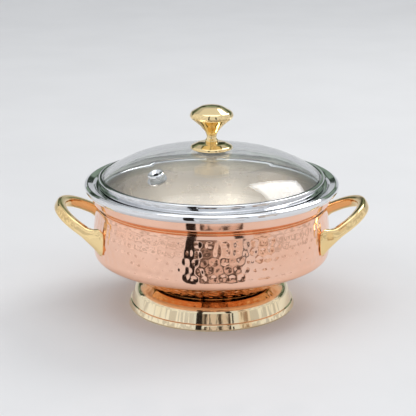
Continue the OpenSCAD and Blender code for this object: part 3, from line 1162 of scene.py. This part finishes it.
    def skirt(self) -> bpy.types.Object:
        """The flared skirt that the knob stands on.

        Returns:
            The skirt.
        """
        low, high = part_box("knob_skirt")
        base, top, radius = low.z / MM, high.z / MM, high.x / MM + 0.05
        ring, hole = self.stem + 0.9, self.knob_screw + 0.25
        outline = fillet(
            [
                (hole, base, 0),
                (radius - 0.8, base, 0.2),
                (radius, base + 0.5, 0.4),
                (radius - 0.4, base + 1.9, 1.8),
                (radius * 0.66, top - 0.5, 4),
                (ring + 0.6, top - 0.4, 0.2),
                (ring, top, 0),
                (hole, top, 0),
            ],
            5,
        )
        piece = lathe("brass_skirt", outline, 160, 50)
        return fit(piece, Body.LID, "knob_skirt", KNOB_BRASS)

    def build(self) -> list[bpy.types.Object]:
        """Makes every piece of the lid."""
        return [self.pane(), self.hoop(), self.vent(), self.knob(), self.skirt()]


@dataclass
class Fixings:
    """The CAD nodes whose shape is right as it is: screws, washers, nut and seals."""

    steel: tuple[str, ...] = (
        "pedestal_bolt",
        "pedestal_washer",
        "pedestal_nut",
        "handle_screws_left",
        "handle_screws_right",
        "handle_washers_left",
        "handle_washers_right",
        "knob_washer",
        "knob_screw",
    )
    polished: tuple[str, ...] = ("vent_washer",)
    soft: tuple[str, ...] = (
        "lid_band_seal",
        "vent_top_seal",
        "vent_lower_seal",
        "knob_top_gasket",
        "knob_under_gasket",
    )

    def dress(self) -> list[bpy.types.Object]:
        """Gives each node its finish.

        Returns:
            The nodes' objects.
        """
        dressed = []
        for names, finish in ((self.steel, BRIGHT_STEEL), (self.polished, STEEL), (self.soft, SILICONE)):
            for name in names:
                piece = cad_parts[name]
                piece.data.materials.clear()
                piece.data.materials.append(finish.material())
                dressed.append(piece)
        return dressed


# The studio


DARK: Colour = (0.015, 0.010, 0.008)
BROWN: Colour = (0.10, 0.075, 0.06)
TAUPE: Colour = (0.38, 0.30, 0.25)
ROSE_WHITE: Colour = (0.85, 0.76, 0.70)
RUST: Colour = (0.42, 0.28, 0.20)
HAZE: Colour = (0.70, 0.67, 0.65)
LEAF: Colour = (0.020, 0.035, 0.018)


@dataclass
class Card:
    """A flat card beside the kettle that only its reflections show."""

    name: str
    colour: Colour
    azimuth: float
    width: float
    distance: float
    low: float
    high: float
    other: Colour | None = None
    blotch: float = 9.0

    def build(self) -> bpy.types.Object:
        """Stands the card up, facing the kettle.

        Returns:
            The card.
        """
        mesh = bpy.data.meshes.new(self.name)
        middle = math.radians(self.azimuth - 90)
        half = self.distance * math.tan(math.radians(self.width / 2))
        out = Vector((math.cos(middle), math.sin(middle), 0)) * self.distance
        across = Vector((-math.sin(middle), math.cos(middle), 0)) * half
        corners = [out - across, out + across]
        points = [c + Vector((0, 0, z)) for z in (self.low, self.high) for c in corners]
        mesh.from_pydata(points, [], [(0, 1, 3, 2)])
        piece = bpy.data.objects.new(self.name, mesh)
        bpy.context.scene.collection.objects.link(piece)
        cloth = Matt(self.name + "_cloth", self.colour, 0.9, self.other, self.blotch)
        mesh.materials.append(cloth.material())
        for ray in ("camera", "transmission", "shadow", "diffuse"):
            setattr(piece, "visible_" + ray, False)
        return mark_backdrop(piece)


@dataclass
class Studio:
    """A pale floor, soft lights, and the camera."""

    floor_colour: Colour = (0.74, 0.735, 0.735)
    sky: Colour = (0.90, 0.93, 0.97)
    strength: float = 0.84
    lens: float = 112.5
    eye: tuple[float, float, float] = (-0.0024, -0.840, 0.318)
    pitch: float = 73.33

    def floor(self) -> bpy.types.Object:
        """A floor that curves up far behind the kettle.

        Returns:
            The floor.
        """
        path = fillet([(-4.0, 0, 0), (2.6, 0, 1.2), (2.6, 3.5, 0)], 6)
        points = [(x, y, z) for x in (-4.0, 4.0) for y, z in path]
        count = len(path)
        faces = [(i, i + 1, count + i + 1, count + i) for i in range(count - 1)]
        mesh = bpy.data.meshes.new("floor")
        mesh.from_pydata(points, [], faces)
        mesh.shade_smooth()
        piece = bpy.data.objects.new("floor", mesh)
        bpy.context.scene.collection.objects.link(piece)
        mesh.materials.append(Matt("pale_floor", self.floor_colour, 0.55).material())
        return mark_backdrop(piece)

    def light(self, name: str, spot: tuple[float, float, float], size: tuple[float, float], power: float) -> None:
        """Hangs a soft rectangular light that faces the kettle.

        Args:
            name: the light's name.
            spot: where it hangs, in metres.
            size: its width and height.
            power: its power in watts.
        """
        data = bpy.data.lights.new(name, "AREA")
        data.shape, data.size, data.size_y, data.energy = "RECTANGLE", size[0], size[1], power
        lamp = bpy.data.objects.new(name, data)
        lamp.location = spot
        lamp.rotation_euler = (Vector((0, 0, 0.07)) - Vector(spot)).to_track_quat("-Z", "Y").to_euler()
        bpy.context.scene.collection.objects.link(lamp)

    def cards(self) -> list[Card]:
        """The cards round the kettle, each named for the piece or side whose reflections it shapes.

        Returns:
            The cards.
        """
        return [
            Card("left_flag", DARK, -14.6, 7.0, 0.16, 0.001, 0.5),
            Card("low_flag", BROWN, 7.0, 31.0, 0.165, 0.001, 0.043, ROSE_WHITE, 55.0),
            Card("brown_flag", BROWN, -4.0, 17.0, 0.4, 0.001, 0.11, TAUPE, 30.0),
            Card("pale_flag", ROSE_WHITE, 15.5, 20.0, 0.4, 0.001, 0.11, (1.0, 0.95, 0.9), 12.0),
            Card("right_edge", DARK, 28.0, 2.0, 0.395, 0.001, 0.11),
            Card("foot_flag", DARK, 24.0, 8.0, 0.4, 0.125, 0.4),
            Card("warm_flag", RUST, 44.0, 16.0, 0.35, 0.001, 0.25, (0.95, 0.85, 0.75), 25.0),
            Card("left_haze", HAZE, -74.0, 100.0, 0.42, 0.001, 0.6, (1.0, 1.0, 1.0), 24.0),
            Card("right_haze", HAZE, 84.0, 66.0, 0.42, 0.001, 0.6, (1.0, 0.99, 0.98), 24.0),
            Card("garden", LEAF, 180.0, 120.0, 2.2, 0.62, 1.7, (0.30, 0.38, 0.28), 3.0),
        ]

    def camera(self) -> None:
        """Sets up the camera."""
        data = bpy.data.cameras.new("camera")
        data.lens, data.sensor_width = self.lens, 36.0
        data.clip_start, data.clip_end = 0.05, 60.0
        data.shift_y = 0.5 / 416
        camera = bpy.data.objects.new("camera", data)
        camera.location = self.eye
        camera.rotation_euler = (math.radians(self.pitch), 0, 0)
        bpy.context.scene.collection.objects.link(camera)
        bpy.context.scene.camera = camera

    def world(self) -> None:
        """Sets an even, faintly cool sky."""
        world = bpy.data.worlds.new("sky")
        world.use_nodes = True
        background = world.node_tree.nodes["Background"]
        background.inputs[0].default_value = (*self.sky, 1)
        background.inputs[1].default_value = self.strength
        bpy.context.scene.world = world

    def build(self) -> None:
        """Sets up the whole studio."""
        self.floor()
        self.world()
        self.light("key", (0.8, 0.7, 1.2), (0.7, 0.7), 7.0)
        self.light("fill", (-1.2, -0.6, 0.9), (1.0, 0.8), 3.0)
        self.light("top", (0.0, -0.1, 1.6), (1.4, 1.0), 5.0)
        for card in self.cards():
            card.build()
        self.camera()
        view = bpy.context.scene.view_settings
        view.view_transform = "Standard"


def main() -> None:
    """Builds the kettle piece by piece, then the studio round it."""
    logging.basicConfig(level=logging.INFO, format="%(name)s: %(message)s")
    shell = CopperShell()
    pieces = [shell.build(), SteelBowl().build(), Pedestal().build()]
    pieces += [LoopHandle(side, shell).build() for side in Side]
    pieces += Lid().build()
    pieces += Fixings().dress()
    for piece in pieces:
        log.info("%s: %d faces", piece.name, len(piece.data.polygons))
    Studio().build()


if __name__ == "__main__":
    main()
